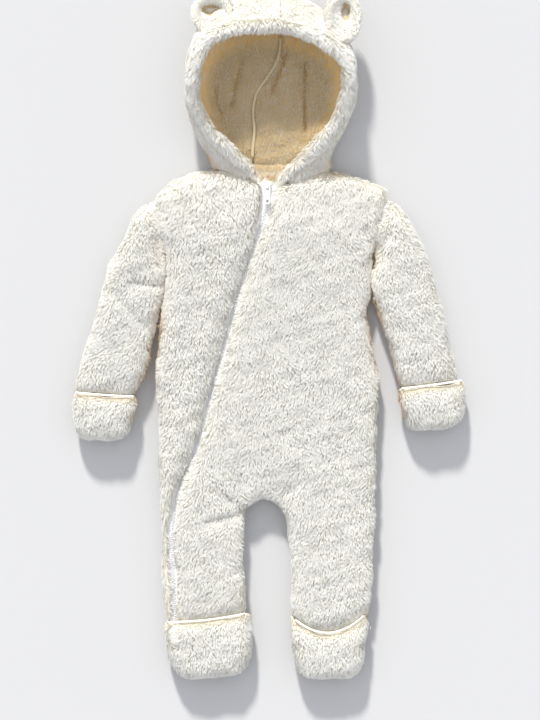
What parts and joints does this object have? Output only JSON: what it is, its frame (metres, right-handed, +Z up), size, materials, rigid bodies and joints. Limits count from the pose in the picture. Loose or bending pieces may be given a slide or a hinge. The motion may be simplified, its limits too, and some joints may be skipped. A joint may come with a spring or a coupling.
{
  "type": "hooded baby onesie",
  "caption": "Hooded fleece baby onesie laid flat, with fold-over mitts, closed feet, small round ears and a slanting front zip.",
  "frame": {"origin": "on the surface the garment lies on, below the middle of its bounding box", "axes": "+X to the wearer's left, +Y from the feet to the hood, +Z up, out of the front"},
  "size_m": [0.518, 0.898, 0.0799],
  "materials": {
    "fleece": "cream double-faced teddy fleece, its pile in short shiny locks",
    "zip_tape": "white woven polyester tape with moulded coil teeth",
    "enamel": "white stoved enamel on cast zinc"
  },
  "bodies": {
    "garment": {"back": "fleece", "front_right": "fleece", "front_left": "fleece", "sleeve_right": "fleece", "sleeve_left": "fleece", "mitt_right": "fleece", "mitt_left": "fleece", "foot_right": "fleece", "foot_left": "fleece", "hood_right": "fleece", "hood_left": "fleece", "hood_rim": "fleece", "ear_right": "fleece", "ear_left": "fleece", "zip_tape_right": "zip_tape", "zip_tape_left": "zip_tape", "zip_slider": "enamel"},
    "pull_tab": {"pull_tab": "enamel"}
  },
  "joints": [
    {"name": "tab_swing", "type": "hinge", "parent": "garment", "child": "pull_tab", "pos_m": [-0.0024, 0.19675, 0.02375], "axis": [-1, 0, 0], "range_deg": [0, 110]}
  ]
}
